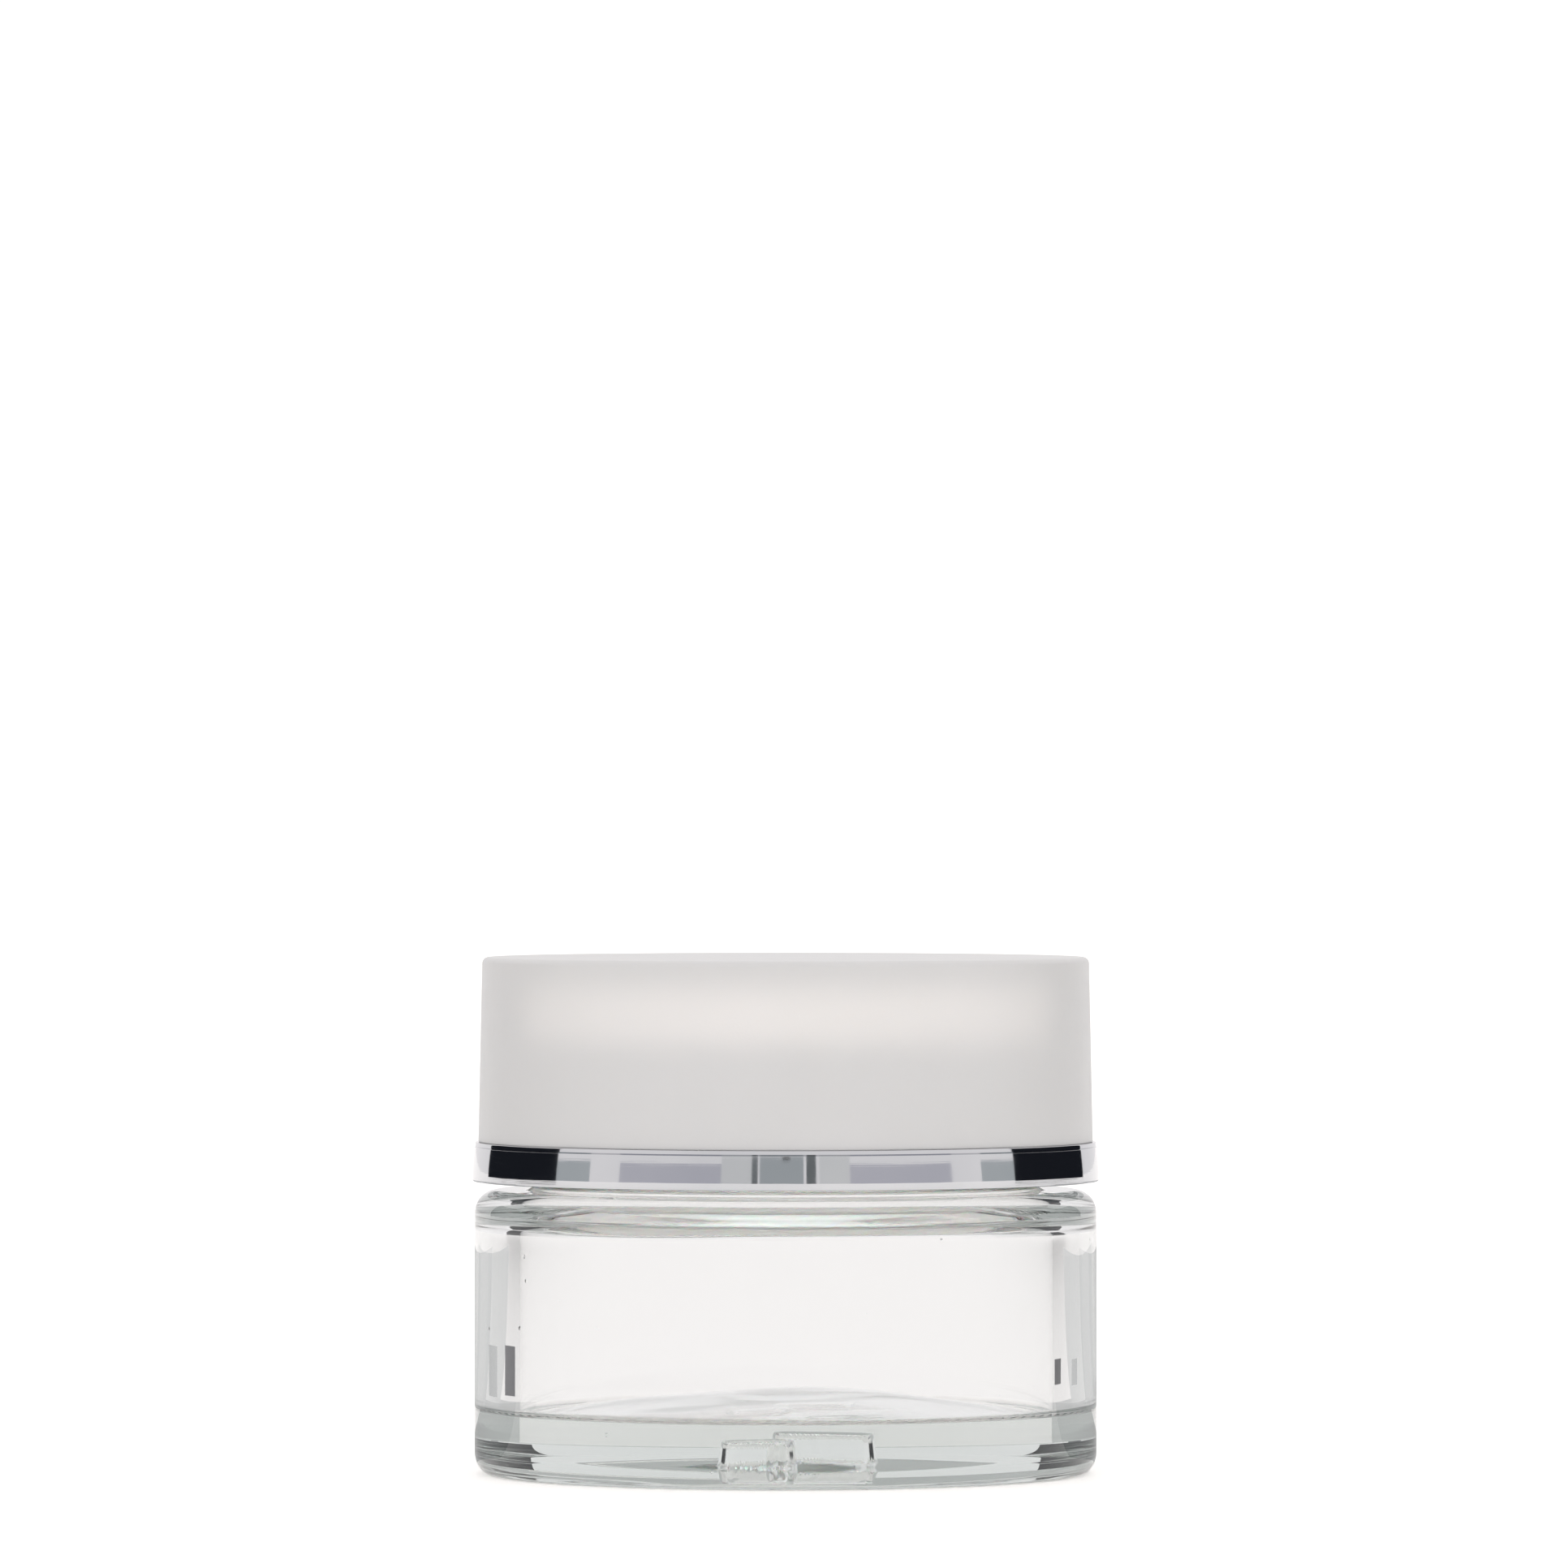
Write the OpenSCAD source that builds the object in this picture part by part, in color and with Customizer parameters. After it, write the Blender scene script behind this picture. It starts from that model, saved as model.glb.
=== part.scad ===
// Cosmetic cream jar: a heavy clear glass pot with a threaded neck, a sealing disc
// that lifts out by a tongue, and a double-walled screw cap with a foam liner and a
// mirror-bright trim ring. The origin is at the centre of the base, +Z is up, and
// every part is drawn closed, in its place.

/* [Glass jar] */
// Outer diameter of the glass body
jar_d = 50; // [50:0.5:52]
// Height of the glass shoulder
jar_h = 22.8; // [22.8:0.1:30]
// Thickness of the side wall
wall_t = 3.57; // [3.2:0.01:3.8]
// Height of the cavity floor at its edge
floor_z = 5; // [4.4:0.1:6]
// Diameter of the neck between the thread ridges
neck_d = 40.4; // [39.6:0.1:40.4]
// Thickness of the neck wall
neck_t = 2.6; // [2.2:0.1:2.8]

/* [Screw thread] */
// Rise of the thread in one turn
lead = 4.23; // [4:0.01:4.4]
// Length of each thread, in turns
thread_turns = 1.25; // [1:0.05:1.35]
// Height of the ridge on the glass
ridge_h = 1; // [0.9:0.05:1]

/* [Cap] */
// Height of the whole cap, trim ring included
cap_h = 18; // [17.8:0.1:19]
// Gap between the glass shoulder and the trim ring
cap_gap = 0.7; // [0.4:0.1:1]
// Height of the trim ring's band
ring_h = 3.15; // [2.8:0.05:3.6]
// Wall thickness of the outer cap
shell_t = 1.2; // [1.1:0.05:1.3]

/* [Seals] */
// Thickness of the foam liner
liner_t = 1.5; // [1:0.1:1.6]
// Depth of the dish in the sealing disc
dish_depth = 2.4; // [2.2:0.1:2.8]

/* [Hidden] */
$fn = 96;

// Clearances
slip = 0.05;            // between faces that bear on each other
sunk = 0.3;             // how deep an added feature is rooted in its wall

// Glass, outside
jar_r = jar_d / 2;
heel_w = 1.3;           // the rounding below the side wall is taller than wide
heel_h = 1.8;
shoulder_corner = 1.83;
neck_r = neck_d / 2;
neck_fillet = 0.8;
rim_corner = 0.75;

// Glass, under the base: a bearing ring, a step up inside it, and a shallow dome
bearing_r = 20.4;
step_h = 0.4;
dome_r = bearing_r - 2 * step_h;
dome_h = 1.6;

// Glass, inside
cavity_r = jar_r - wall_t;
cavity_corner = 0.6;
floor_rise = 1.6;       // the cavity floor is higher in the middle
bore_r = neck_r - neck_t;
ceiling_slope = 45;     // slope of the cavity's ceiling, from the vertical
cavity_bend = 2;
bore_bend = 3;
bend_run = (cavity_bend + bore_bend) * (1 - cos(ceiling_slope));
slope_run = cavity_r - bore_r - bend_run;
slope_rise = slope_run / tan(ceiling_slope);
neck_root_t = 1.24;     // glass left between the ceiling and the foot of the neck
ceiling_run = cavity_r - cavity_bend * (1 - cos(ceiling_slope)) - neck_r + neck_root_t;
cavity_top = jar_h - cavity_bend * sin(ceiling_slope) - ceiling_run / tan(ceiling_slope);
bore_start = cavity_top + (cavity_bend + bore_bend) * sin(ceiling_slope) + slope_rise;

// Marks pressed up into the base, as [x, y, turn, length, depth]
marks = [[-1.8, -10.5, 10, 4.9, 1.9], [2.3, -7.5, -6, 6.4, 2.4]];
mark_w = 2.2;
mark_mouth_z = step_h + dome_h - 0.5;

// Cap: the outside
ring_z = jar_h + cap_gap;
shell_z = ring_z + ring_h;
cap_z = ring_z + cap_h;
shell_low_r = jar_r - 0.3;
shell_top_r = shell_low_r - 0.3;
shell_corner = 0.5;
shell_top_t = 1.4;

// Cap: the stack under its top, from the outside down to the rim of the glass
plate_rib_h = 0.9;      // ribs between the two tops
plate_t = 1.3;
flange_t = 0.7;         // edge of the sealing disc
plate_z = cap_z - shell_top_t - plate_rib_h - plate_t;
liner_z = plate_z - slip - liner_t;
rim_z = liner_z - slip - flange_t;

// Thread: the ridge in the cap bears on the underside of the ridge on the glass
ridge_w = 2.3;
cap_ridge_w = 2;
cap_ridge_h = 0.85;
ridge_offset = 1.5;     // how far the cap's ridge lies below the glass one
ridge_start_a = 202;    // where both ridges start, round the jar
ridge_fade = 28;        // angle over which a ridge rises out of its wall
ridge_z = rim_z - 2.2 - thread_turns * lead;
cap_ridge_z = ridge_z - ridge_offset;

// Inner cap
thread_r = neck_r + ridge_h + 0.25;
skirt_r = thread_r + 1.05;
skirt_z = ring_z + 0.4;
bead_r = thread_r - 0.4;
bead_h = 0.8;
bead_z = liner_z - bead_h - slip;
liner_r = thread_r - 0.1;

// Ribs between the outer cap's top and the inner cap's plate
plate_rib_r = 9;
plate_rib_w = 1;
plate_rib_n = 8;

// Trim ring: a flared band over a plain lip, and a sleeve up inside the outer cap
ring_top_r = shell_low_r + 0.27;
ring_low_r = shell_low_r + 0.5;
lip_h = 0.65;
lip_corner = 0.2;
groove_drop = 0.36;     // fine groove, this far below the top of the band
groove_h = 0.12;
groove_depth = 0.06;
sleeve_in_r = skirt_r + slip;
sleeve_out_r = shell_low_r - shell_t - slip;
sleeve_z = shell_z + 2.65;
snap_z = shell_z + 1.3;
snap_w = 0.8;
snap_h = 0.2;
web_t = 1;

// Splines that carry the turn from the outer cap to the inner one
spline_n = 24;
spline_w = PI * skirt_r / spline_n - 0.1;
spline_reach = 0.5;
spline_h = 6;

// Sealing disc
flange_r = neck_r - 0.15;
plug_r = bore_r - 0.1;
plug_taper = 0.5;
dish_t = 0.6;
dish_z = rim_z - dish_depth;
tongue_l = 11;
tongue_w = 6.5;
tongue_t = 0.6;
tongue_gap = 0.5;
grip_n = 3;
grip_pitch = 1.1;
grip_d = 0.5;

// Points of an arc round a centre, n steps long
function arc(c, r, from, to, n = 6) =
    [for (i = [0:n]) let (a = from + (to - from) * i / n) [c.x + r * cos(a), c.y + r * sin(a)]];

// Points of a shallow dome from its edge to its top, round the Z axis
function dome(edge_r, edge_z, rise, n = 6) =
    let (r = (edge_r * edge_r + rise * rise) / (2 * rise), half = asin(edge_r / r))
    [for (i = [0:n]) let (a = half * (1 - i / n)) [r * sin(a), edge_z + rise - r * (1 - cos(a))]];

// The same list, last point first
function backwards(list) = [for (i = [len(list) - 1:-1:0]) list[i]];

// The same list without its first point
function rest(list) = [for (i = [1:len(list) - 1]) list[i]];

// 0 before the start, 1 after the end, smooth in between
function ease(t) = let (u = min(1, max(0, t))) u * u * (3 - 2 * u);

// Cross-section of a ridge at a share of its full height, as [outwards, up]
function ridge_section(h, w, share) =
    let (root = -0.2, top = h * share + root * (1 - share) / 2, half = w * (0.3 + 0.2 * share))
    [[root, -half], [top * 0.6, -half * 0.7], [top, -half * 0.4],
     [top, half * 0.4], [top * 0.6, half * 0.7], [root, half]];

// A ridge that winds up a wall of radius r, outwards from it (side 1) or inwards (side -1)
module helical_ridge(r, h, w, z, side) {
    rings = 90;
    sweep = thread_turns * 360;
    sections = [for (i = [0:rings])
        let (a = sweep * i / rings, share = ease(min(a, sweep - a) / ridge_fade))
        [for (p = ridge_section(h, w, share))
            [(r + side * p.x) * cos(a), (r + side * p.x) * sin(a), z + lead * a / 360 + p.y]]];
    k = len(sections[0]);
    walls = [for (i = [0:rings - 1], j = [0:k - 1])
        let (n = (j + 1) % k)
        each [[i * k + j, i * k + n, (i + 1) * k + n], [i * k + j, (i + 1) * k + n, (i + 1) * k + j]]];
    ends = [[for (j = [k - 1:-1:0]) j], [for (j = [0:k - 1]) rings * k + j]];
    faces = concat(walls, ends);
    rotate(ridge_start_a)
        polyhedron([for (s = sections) each s], side > 0 ? faces : [for (f = faces) backwards(f)]);
}

// A bar with round ends
module lozenge(length, width, height) {
    linear_extrude(height) {
        square([length - width, width], center = true);
        for (x = [-1, 1]) translate([x * (length - width) / 2, 0]) circle(d = width);
    }
}

// A ring of equal bars, standing radially between two radii
module radial_bars(count, from_r, to_r, width, z, height, turn = 0) {
    for (i = [0:count - 1]) rotate(turn + i * 360 / count)
        translate([from_r, -width / 2, z]) cube([to_r - from_r, width, height]);
}

// Glass pot: body, neck, thread, and the marks in the underside of its base
module glass_jar() {
    color([0.9, 0.95, 0.93, 0.4]) {
        difference() {
            rotate_extrude() polygon(concat(
                backwards(dome(dome_r, step_h, dome_h)),
                [[bearing_r, 0]],
                [for (p = arc([0, 0], 1, -90, 0)) [jar_r + heel_w * (p.x - 1), heel_h * (p.y + 1)]],
                arc([jar_r - shoulder_corner, jar_h - shoulder_corner], shoulder_corner, 0, 90),
                arc([neck_r + neck_fillet, jar_h + neck_fillet], neck_fillet, 270, 180, 4),
                arc([neck_r - rim_corner, rim_z - rim_corner], rim_corner, 0, 90, 4),
                arc([bore_r + rim_corner, rim_z - rim_corner], rim_corner, 90, 180, 4),
                arc([bore_r + bore_bend, bore_start], bore_bend, 180, 180 + ceiling_slope),
                arc([cavity_r - cavity_bend, cavity_top], cavity_bend, ceiling_slope, 0),
                arc([cavity_r - cavity_corner, floor_z + cavity_corner], cavity_corner, 0, -90),
                rest(dome(cavity_r - cavity_corner, floor_z, floor_rise))));
            for (m = marks)
                translate([m.x, m.y, 0]) rotate(m.z) lozenge(m[3], mark_w, mark_mouth_z + m[4]);
        }
        helical_ridge(neck_r, ridge_h, ridge_w, ridge_z, 1);
    }
}

// Disc that seals the mouth: a flange on the rim, a dish down into the neck, and a
// tongue to lift it by
module sealing_disc() {
    tongue_z = dish_z + dish_t + tongue_gap;
    color([0.95, 0.95, 0.94]) {
        rotate_extrude() polygon([
            [0, dish_z], [plug_r - plug_taper, dish_z], [plug_r, dish_z + plug_taper],
            [plug_r, rim_z], [flange_r - slip, rim_z], [flange_r, rim_z + slip],
            [flange_r, rim_z + flange_t - slip], [flange_r - slip, rim_z + flange_t],
            [plug_r - dish_t - plug_taper / 2, rim_z + flange_t], [plug_r - dish_t - plug_taper, dish_z + dish_t],
            [0, dish_z + dish_t]]);
        translate([0, 0, tongue_z]) lozenge(tongue_l, tongue_w, tongue_t);
        translate([-tongue_l / 2, -tongue_w / 4, dish_z + dish_t / 2])
            cube([tongue_w / 4, tongue_w / 2, dish_t / 2 + tongue_gap + tongue_t / 2]);
        for (i = [0:grip_n - 1]) translate([tongue_l / 4 + (i - 0.5) * grip_pitch, 0, tongue_z + tongue_t])
            rotate([90, 0, 0]) cylinder(d = grip_d, h = tongue_w / 2, center = true);
    }
}

// Foam disc that presses the sealing disc down on the rim
module foam_liner() {
    color([0.97, 0.97, 0.96]) translate([0, 0, liner_z]) cylinder(r = liner_r, h = liner_t);
}

// Inner cap: a plate over the liner, a bead that holds the liner in, and a threaded skirt
module inner_cap() {
    color([0.93, 0.93, 0.92]) {
        rotate_extrude() polygon([
            [0, plate_z], [thread_r, plate_z], [thread_r, bead_z + bead_h],
            [bead_r, bead_z + bead_h / 2], [thread_r, bead_z], [thread_r, skirt_z + sunk],
            [thread_r + sunk, skirt_z], [skirt_r, skirt_z], [skirt_r, plate_z + plate_t - sunk],
            [skirt_r - sunk, plate_z + plate_t], [0, plate_z + plate_t]]);
        radial_bars(spline_n, skirt_r - sunk, skirt_r + spline_reach, spline_w, sleeve_z, spline_h);
        helical_ridge(thread_r, cap_ridge_h, cap_ridge_w, cap_ridge_z, -1);
    }
}

// Outer cap: a plain tapered shell, with ribs under its top and splines down its wall
module outer_cap() {
    wall_top_z = cap_z - shell_top_t;
    color([0.93, 0.925, 0.92]) {
        rotate_extrude() polygon(concat(
            [[shell_low_r - shell_t, shell_z], [shell_low_r, shell_z]],
            arc([shell_top_r - shell_corner, cap_z - shell_corner], shell_corner, 0, 90),
            [[0, cap_z], [0, wall_top_z], [shell_top_r - shell_t, wall_top_z],
             [shell_low_r - shell_t, snap_z + snap_w], [shell_low_r - shell_t, snap_z + snap_w / 2],
             [shell_low_r - shell_t + snap_h, snap_z], [shell_low_r - shell_t, snap_z - snap_w / 2]]));
        rotate_extrude() translate([plate_rib_r, plate_z + plate_t])
            square([plate_rib_w, plate_rib_h + sunk]);
        radial_bars(plate_rib_n, plate_rib_r + plate_rib_w / 2, skirt_r - 2 * sunk, plate_rib_w,
            plate_z + plate_t, plate_rib_h + sunk);
        radial_bars(spline_n, skirt_r + slip, shell_top_r - shell_t + sunk, spline_w,
            sleeve_z, wall_top_z + sunk - sleeve_z, 180 / spline_n);
    }
}

// Trim ring: the bright band below the outer cap, on a sleeve that snaps up inside it
module trim_ring() {
    band_slope = (ring_low_r - ring_top_r) / (ring_h - lip_h);
    groove_r = ring_top_r + band_slope * groove_drop;
    color([0.8, 0.81, 0.83]) rotate_extrude() polygon(concat(
        [[sleeve_in_r, ring_z], [sleeve_out_r, ring_z], [sleeve_out_r, shell_z - web_t],
         [sleeve_out_r + web_t / 2, shell_z - web_t], [ring_low_r - web_t, ring_z + lip_corner],
         [ring_low_r - web_t + lip_corner, ring_z]],
        arc([ring_low_r - lip_corner, ring_z + lip_corner], lip_corner, -90, 0, 4),
        [[ring_low_r, ring_z + lip_h], [groove_r, shell_z - groove_drop - groove_h / 2],
         [groove_r - groove_depth, shell_z - groove_drop],
         [groove_r, shell_z - groove_drop + groove_h / 2], [ring_top_r, shell_z - slip],
         [ring_top_r - slip, shell_z], [sleeve_out_r, shell_z],
         [sleeve_out_r, snap_z - snap_w / 2], [sleeve_out_r + snap_h, snap_z],
         [sleeve_out_r, snap_z + snap_w / 2], [sleeve_out_r, sleeve_z], [sleeve_in_r, sleeve_z]]));
}

glass_jar();
sealing_disc();
foam_liner();
inner_cap();
outer_cap();
trim_ring();
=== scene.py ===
import math

import bmesh
import bpy
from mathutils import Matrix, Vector, noise


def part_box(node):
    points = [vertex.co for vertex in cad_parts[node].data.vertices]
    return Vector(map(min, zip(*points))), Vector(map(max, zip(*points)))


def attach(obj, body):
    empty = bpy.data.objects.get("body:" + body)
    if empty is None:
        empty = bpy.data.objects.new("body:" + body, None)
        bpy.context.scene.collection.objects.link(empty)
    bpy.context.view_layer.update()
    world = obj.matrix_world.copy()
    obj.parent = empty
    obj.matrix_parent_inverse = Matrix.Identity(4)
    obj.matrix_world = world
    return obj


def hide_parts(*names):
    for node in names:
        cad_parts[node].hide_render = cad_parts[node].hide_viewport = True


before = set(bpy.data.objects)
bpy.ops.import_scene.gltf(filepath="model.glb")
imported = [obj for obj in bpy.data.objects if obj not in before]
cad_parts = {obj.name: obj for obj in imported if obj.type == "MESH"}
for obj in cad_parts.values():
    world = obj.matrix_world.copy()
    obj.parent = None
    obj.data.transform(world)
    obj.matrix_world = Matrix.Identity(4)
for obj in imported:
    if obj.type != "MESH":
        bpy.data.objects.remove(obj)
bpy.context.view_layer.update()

# A closed cosmetic cream jar. Outlines and sizes below are in millimetres and are
# turned round the Z axis; every mesh is made in metres, in the row frame.
MM = 0.001
SEGMENTS = 480          # steps round a turned piece
FINE_SEGMENTS = 768     # round the glass, eight to each knurl
COARSE_SEGMENTS = 240   # round the plain hidden discs
SHARP_ANGLE = 38        # edges sharper than this, in degrees, are shaded sharp
NEAR = 0.01             # how close a point has to be to count as on a surface
GAP = 0.05              # play between pieces that touch

# ---------------------------------------------------------------- sizes
# What bounds a piece is read from the frame; the sizes within it follow below.


def extent(node):
    """A node's outer radius, lowest and highest point, in millimetres."""
    low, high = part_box(node)
    return high.x / MM, low.z / MM, high.z / MM


JAR_R, _, RIM_Z = extent("glass_jar")
_, DISH_Z, FLANGE_Z = extent("sealing_disc")
LINER_R, LINER_Z, LINER_TOP = extent("foam_liner")
SPLINE_R, SKIRT_Z, PLATE_TOP = extent("inner_cap")
SHELL_R, SHELL_Z, CAP_Z = extent("outer_cap")
RING_R, RING_Z, SLEEVE_Z = extent("trim_ring")

# glass
WALL = 3.57
FLOOR_Z = 5.0
FLOOR_RISE = 1.6
FLOOR_SWAY = 0.5        # how uneven pressing leaves the floor and the wall inside
WALL_SWAY = 0.05
CAVITY_CORNER = 0.6
HEEL_W = 1.3
HEEL_H = 1.8
SHOULDER_CORNER = 1.83
SHOULDER_Z = RING_Z - 0.7
NECK_R = 20.2
NECK_WALL = 2.6
NECK_FILLET = 0.8
RIM_CORNER = 0.75
BEARING_R = 20.4
STEP_H = 0.4
DOME_R = BEARING_R - 2 * STEP_H
DOME_H = 1.6
CEILING_DROP = 3.3
CEILING_SLOPE = 45
CAVITY_BEND = 2.0
BORE_BEND = 3.0
CAVITY_R = JAR_R - WALL
BORE_R = NECK_R - NECK_WALL

# knurls on the bearing ring, and marks pressed up into the base
KNURLS = 96
KNURL_H = 0.12
MARKS = [(-1.8, -10.5, 10, 4.9, 1.9), (2.3, -7.5, -6, 6.4, 2.2)]   # x, y, turn, length, depth
MARK_W = 2.2
MARK_EDGE = 0.3
MARKS_FROM = 5.9        # the marks lie between these distances from the axis
MARKS_TO = 12.8

# thread
LEAD = 4.23
TURNS = 1.25
RIDGE_H = 1.0
RIDGE_W = 2.3
RIDGE_START = 202
RIDGE_FADE = 28
RIDGE_Z = RIM_Z - 2.2 - TURNS * LEAD
CAP_RIDGE_H = 0.85
CAP_RIDGE_W = 2.0
CAP_RIDGE_DROP = 1.5
RIDGE_FLANK = 0.62      # the share of a ridge's half width that slopes

# cap
SHELL_T = 1.2
SHELL_TOP_T = 1.4
SHELL_DRAFT = 0.3
SHELL_CORNER = 0.5
THREAD_R = NECK_R + RIDGE_H + 0.25
SKIRT_R = THREAD_R + 1.05
SPLINES = 24
SPLINE_LENGTH = 6.0
SPLINE_END = 0.02       # half the height of the step where splines begin or end
PLATE_Z = LINER_TOP + GAP
BEAD_H = 0.8
BEAD_DEPTH = 0.4
LIP_H = 0.65
GROOVE_DROP = 0.36
GROOVE_H = 0.12
GROOVE_DEPTH = 0.06
BAND_OUT = 0.27         # how far the top of the band stands out from the shell
BAND_BULGE = 0.025      # the band is very slightly barrelled
SNAP_Z = SHELL_Z + 1.3
SNAP_H = 0.2
SNAP_W = 0.8


# ---------------------------------------------------------------- mesh helpers


def arc(centre_r, centre_z, radius, start, end, pieces=10):
    """Points of an arc, from one angle to another, in degrees."""
    angles = [math.radians(start + (end - start) * i / pieces) for i in range(pieces + 1)]
    return [(centre_r + radius * math.cos(a), centre_z + radius * math.sin(a)) for a in angles]


def span(start, end, step):
    """Points of a straight line, both ends included, at most a step apart."""
    n = max(1, math.ceil(math.dist(start, end) / step))
    return [tuple(a + (b - a) * i / n for a, b in zip(start, end)) for i in range(n + 1)]


def dome(edge_r, edge_z, rise, radii):
    """Points of a shallow dome, at the given distances from its axis."""
    radius = (edge_r ** 2 + rise ** 2) / (2 * rise)
    return [(r, edge_z + rise - radius + math.sqrt(radius ** 2 - r ** 2)) for r in radii]


def steps(start, end, step):
    """Numbers from one to another, both included, at most a step apart."""
    return [r for r, _ in span((start, 0), (end, 0), step)]


def held(outline, margin=0.05, closed=False):
    """The outline with points added just inside the ends of its long lines, to keep the
    rounding of its corners out of its flats."""
    ends = zip(outline, outline[1:] + (outline[:1] if closed else []))
    out = []
    for a, b in ends:
        length = math.dist(a, b)
        out.append(a)
        if length > 6 * margin:
            t = margin / length
            out += [tuple(p + (q - p) * s for p, q in zip(a, b)) for s in (t, 1 - t)]
    return out if closed else out + [outline[-1]]


def ease(t):
    """0 below 0, 1 above 1, smooth in between."""
    t = min(1.0, max(0.0, t))
    return t * t * (3 - 2 * t)


def new_object(name, vertices, faces):
    """An object from vertices in millimetres and faces."""
    mesh = bpy.data.meshes.new(name)
    mesh.from_pydata([tuple(c * MM for c in v) for v in vertices], [], faces)
    mesh.validate()
    mesh.shade_smooth()
    mesh.set_sharp_from_angle(angle=math.radians(SHARP_ANGLE))
    obj = bpy.data.objects.new(name, mesh)
    bpy.context.scene.collection.objects.link(obj)
    return obj


def turned(name, outline, closed=False, shape=None, segments=SEGMENTS):
    """A solid of revolution. An open outline runs from the axis to the axis, a closed one
    is a ring's section; both run anticlockwise. shape(r, z, angle) moves a point."""
    vertices, rows, faces = [], [], []
    for r, z in outline:
        on_axis = r < 1e-6
        if on_axis:
            z0 = shape(0.0, z, 0.0)[1] if shape else z
            rows.append([len(vertices)] * segments)
            vertices.append((0.0, 0.0, z0))
            continue
        rows.append(list(range(len(vertices), len(vertices) + segments)))
        for i in range(segments):
            a = 2 * math.pi * i / segments
            rr, zz = shape(r, z, a) if shape else (r, z)
            vertices.append((rr * math.cos(a), rr * math.sin(a), zz))
    pairs = list(zip(rows, rows[1:])) + ([(rows[-1], rows[0])] if closed else [])
    for low, high in pairs:
        for i in range(segments):
            j = (i + 1) % segments
            corners = [low[i], low[j], high[j], high[i]]
            faces.append(tuple(dict.fromkeys(corners)))
    return new_object(name, vertices, faces)


def ridge(z, angle, start_z, height, width):
    """How far a thread's ridge stands out of its wall at a height and an angle. It gets
    lower and narrower towards both of its ends."""
    best = 0.0
    lead_in = (math.degrees(angle) - RIDGE_START) % 360
    for turn in range(math.ceil(TURNS) + 1):
        along = lead_in + 360 * turn
        left = TURNS * 360 - along
        if left < 0:
            break
        share = ease(min(along, left) / RIDGE_FADE)
        off = abs(z - start_z - LEAD * along / 360)
        half = width * (0.3 + 0.2 * share)
        best = max(best, height * share * ease((half - off) / (RIDGE_FLANK * half)))
    return best


def pressed_up(x, y, mark):
    """How deep a round-ended mark is at a point, with a smooth edge."""
    cx, cy, turn, length, depth = mark
    c, s = math.cos(math.radians(turn)), math.sin(math.radians(turn))
    along = (x - cx) * c + (y - cy) * s
    across = -(x - cx) * s + (y - cy) * c
    past_middle = max(0.0, abs(along) - (length - MARK_W) / 2)
    return depth * ease((MARK_W / 2 - math.hypot(past_middle, across)) / MARK_EDGE + 0.5)


def unevenness(x, y, scale, layer):
    """A smooth random value between -1 and 1 at a point, the same on every run."""
    return noise.noise(Vector((x * scale, y * scale, layer)))


def spline_phase(angle):
    """Where an angle lies in the pitch of the cap's splines, from 0 to 1."""
    return (angle * SPLINES / (2 * math.pi)) % 1


# ---------------------------------------------------------------- material helpers


class Tree:
    """Adds nodes to the node tree of a material or a world."""

    def __init__(self, owner):
        owner.use_nodes = True
        self.tree = owner.node_tree

    def add(self, kind, **settings):
        node = self.tree.nodes.new(kind)
        for key, value in settings.items():
            setattr(node, key, value)
        return node

    def link(self, a, b):
        self.tree.links.new(a, b)

    def maths(self, operation, *values):
        """A math node on numbers or outputs."""
        node = self.add("ShaderNodeMath", operation=operation)
        for socket, value in zip(node.inputs, values):
            if isinstance(value, (int, float)):
                socket.default_value = value
            else:
                self.link(value, socket)
        return node.outputs[0]

    def mix(self, share, first, second):
        """A mix of two colours, each three numbers or an output."""
        node = self.add("ShaderNodeMix", data_type="RGBA")
        self.link(share, node.inputs["Factor"])
        for name, colour in (("A", first), ("B", second)):
            if isinstance(colour, tuple):
                node.inputs[name].default_value = (*colour, 1)
            else:
                self.link(colour, node.inputs[name])
        return node.outputs["Result"]


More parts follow.
